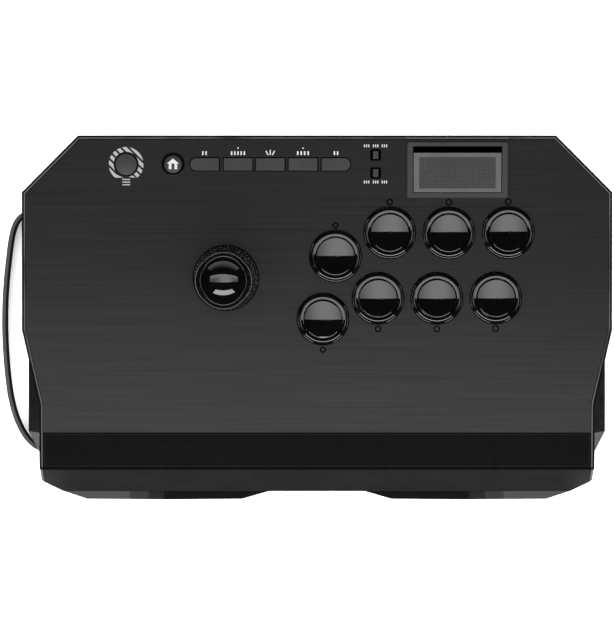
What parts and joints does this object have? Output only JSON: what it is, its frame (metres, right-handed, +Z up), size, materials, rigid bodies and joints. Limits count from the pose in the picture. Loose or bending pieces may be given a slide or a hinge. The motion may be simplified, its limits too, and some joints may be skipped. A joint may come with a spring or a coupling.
{
  "type": "arcade joystick panel",
  "caption": "Desktop arcade joystick panel with a ball-top lever, main push buttons, touchpad, small function controls and a carry strap.",
  "frame": {"origin": "on the table, at the underside of the rubber grip pad, under the middle of the case (the carry strap is not counted)", "axes": "+X to the player's right, +Y away from the player, +Z up; the panel slopes down 3 degrees towards the player"},
  "size_m": [0.3816, 0.2284, 0.1058],
  "materials": {
    "brushed_plate": "dark brushed, fine grain along X",
    "case_gloss": "gloss black moulding",
    "case_satin": "satin black moulding",
    "strip_texture": "fine mesh texture",
    "button_gloss": "polished black",
    "ball_gloss": "polished black",
    "control_grey": "satin dark grey",
    "pad_face": "fine dotted grid",
    "washer_texture": "textured black",
    "rubber": "moulded",
    "steel": "turned or stamped",
    "pom_black": "low friction moulding",
    "pom_white": "low friction moulding",
    "circuit_board": "solder mask",
    "switch_black": "moulded",
    "socket_metal": "plated",
    "light_pipe": "translucent"
  },
  "bodies": {
    "root": {"top_plate": "brushed_plate", "upper_case": "case_gloss", "lower_case": "case_gloss", "front_lip": "case_satin", "palm_strip": "strip_texture", "bottom_cover": "steel", "rubber_feet": "rubber", "case_screws": "steel", "carry_strap": "rubber", "strap_anchors": "case_satin", "button_microswitches": "switch_black", "lever_mount_plate": "steel", "lever_nuts": "steel", "lever_body": "pom_black", "restrictor_gate": "pom_white", "lever_switches": "switch_black", "function_pcb": "circuit_board", "home_bezel": "case_gloss", "tact_switches": "switch_black", "slide_switch_bodies": "switch_black", "led_light_pipes": "light_pipe", "touchpad_bezel": "control_grey", "main_pcb": "circuit_board", "usb_socket": "socket_metal", "headset_jack": "switch_black", "button_housing_1": "button_gloss", "button_housing_2": "button_gloss", "button_housing_3": "button_gloss", "button_housing_4": "button_gloss", "button_housing_5": "button_gloss", "button_housing_6": "button_gloss", "button_housing_7": "button_gloss", "button_housing_8": "button_gloss"},
    "button_1": {"button_plunger_1": "button_gloss"},
    "button_2": {"button_plunger_2": "button_gloss"},
    "button_3": {"button_plunger_3": "button_gloss"},
    "button_4": {"button_plunger_4": "button_gloss"},
    "button_5": {"button_plunger_5": "button_gloss"},
    "button_6": {"button_plunger_6": "button_gloss"},
    "button_7": {"button_plunger_7": "button_gloss"},
    "button_8": {"button_plunger_8": "button_gloss"},
    "function_1": {"function_button_1": "control_grey"},
    "function_2": {"function_button_2": "control_grey"},
    "function_3": {"function_button_3": "control_grey"},
    "function_4": {"function_button_4": "control_grey"},
    "function_5": {"function_button_5": "control_grey"},
    "options": {"options_button": "control_grey"},
    "home": {"home_button": "button_gloss"},
    "touchpad": {"touchpad": "pad_face"},
    "slide_1": {"slide_knob_1": "control_grey"},
    "slide_2": {"slide_knob_2": "control_grey"},
    "pivot": {"pivot_ball": "pom_white"},
    "lever": {"ball_top": "ball_gloss", "lever_shaft": "steel", "shaft_sleeve": "pom_black", "lever_actuator": "pom_black", "lever_spring": "steel", "retaining_clip": "steel"},
    "glide_ring": {"washer_glide_ring": "pom_black"},
    "washer": {"dust_washer": "washer_texture"}
  },
  "joints": [
    {"name": "button_1_press", "type": "slide", "parent": "root", "child": "button_1", "axis": [0, 0.0523, -0.9986], "range_m": [0, 0.0028], "stiffness_N_per_m": 200, "springref_m": -0.003},
    {"name": "button_2_press", "type": "slide", "parent": "root", "child": "button_2", "axis": [0, 0.0523, -0.9986], "range_m": [0, 0.0028], "stiffness_N_per_m": 200, "springref_m": -0.003},
    {"name": "button_3_press", "type": "slide", "parent": "root", "child": "button_3", "axis": [0, 0.0523, -0.9986], "range_m": [0, 0.0028], "stiffness_N_per_m": 200, "springref_m": -0.003},
    {"name": "button_4_press", "type": "slide", "parent": "root", "child": "button_4", "axis": [0, 0.0523, -0.9986], "range_m": [0, 0.0028], "stiffness_N_per_m": 200, "springref_m": -0.003},
    {"name": "button_5_press", "type": "slide", "parent": "root", "child": "button_5", "axis": [0, 0.0523, -0.9986], "range_m": [0, 0.0028], "stiffness_N_per_m": 200, "springref_m": -0.003},
    {"name": "button_6_press", "type": "slide", "parent": "root", "child": "button_6", "axis": [0, 0.0523, -0.9986], "range_m": [0, 0.0028], "stiffness_N_per_m": 200, "springref_m": -0.003},
    {"name": "button_7_press", "type": "slide", "parent": "root", "child": "button_7", "axis": [0, 0.0523, -0.9986], "range_m": [0, 0.0028], "stiffness_N_per_m": 200, "springref_m": -0.003},
    {"name": "button_8_press", "type": "slide", "parent": "root", "child": "button_8", "axis": [0, 0.0523, -0.9986], "range_m": [0, 0.0028], "stiffness_N_per_m": 200, "springref_m": -0.003},
    {"name": "function_1_press", "type": "slide", "parent": "root", "child": "function_1", "axis": [0, 0.0523, -0.9986], "range_m": [0, 0.0008], "stiffness_N_per_m": 400, "springref_m": -0.001},
    {"name": "function_2_press", "type": "slide", "parent": "root", "child": "function_2", "axis": [0, 0.0523, -0.9986], "range_m": [0, 0.0008], "stiffness_N_per_m": 400, "springref_m": -0.001},
    {"name": "function_3_press", "type": "slide", "parent": "root", "child": "function_3", "axis": [0, 0.0523, -0.9986], "range_m": [0, 0.0008], "stiffness_N_per_m": 400, "springref_m": -0.001},
    {"name": "function_4_press", "type": "slide", "parent": "root", "child": "function_4", "axis": [0, 0.0523, -0.9986], "range_m": [0, 0.0008], "stiffness_N_per_m": 400, "springref_m": -0.001},
    {"name": "function_5_press", "type": "slide", "parent": "root", "child": "function_5", "axis": [0, 0.0523, -0.9986], "range_m": [0, 0.0008], "stiffness_N_per_m": 400, "springref_m": -0.001},
    {"name": "options_press", "type": "slide", "parent": "root", "child": "options", "axis": [0, 0.0523, -0.9986], "range_m": [0, 0.0008], "stiffness_N_per_m": 400, "springref_m": -0.001},
    {"name": "home_press", "type": "slide", "parent": "root", "child": "home", "axis": [0, 0.0523, -0.9986], "range_m": [0, 0.0008], "stiffness_N_per_m": 400, "springref_m": -0.001},
    {"name": "touchpad_click", "type": "hinge", "parent": "root", "child": "touchpad", "pos_m": [0.0867, 0.10481, 0.04849], "axis": [1, 0, 0], "range_deg": [0, 1.3], "stiffness_Nm_per_rad": 1, "springref_deg": -1.15},
    {"name": "slide_1_shift", "type": "slide", "parent": "root", "child": "slide_1", "axis": [1, 0, 0], "range_m": [-0.0012, 0.0012]},
    {"name": "slide_2_shift", "type": "slide", "parent": "root", "child": "slide_2", "axis": [1, 0, 0], "range_m": [-0.0012, 0.0012]},
    {"name": "lever_tilt_fore_aft", "type": "hinge", "parent": "root", "child": "pivot", "pos_m": [-0.0564, 0.0269, 0.03239], "axis": [1, 0, 0], "range_deg": [-9, 9], "stiffness_Nm_per_rad": 0.65},
    {"name": "lever_tilt_side", "type": "hinge", "parent": "pivot", "child": "lever", "pos_m": [-0.0564, 0.0269, 0.03239], "axis": [0, 0.9986, 0.0523], "range_deg": [-9, 9], "stiffness_Nm_per_rad": 0.65},
    {"name": "washer_fore_aft", "type": "slide", "parent": "root", "child": "glide_ring", "axis": [0, 0.9986, 0.0523], "range_m": [-0.0025, 0.0025]},
    {"name": "washer_side", "type": "slide", "parent": "glide_ring", "child": "washer", "axis": [1, 0, 0], "range_m": [-0.0025, 0.0025]}
  ],
  "couplings": [
    {"joint": "washer_fore_aft", "follows": "lever_tilt_fore_aft", "m_per_rad": -0.0152},
    {"joint": "washer_side", "follows": "lever_tilt_side", "m_per_rad": 0.0152}
  ]
}
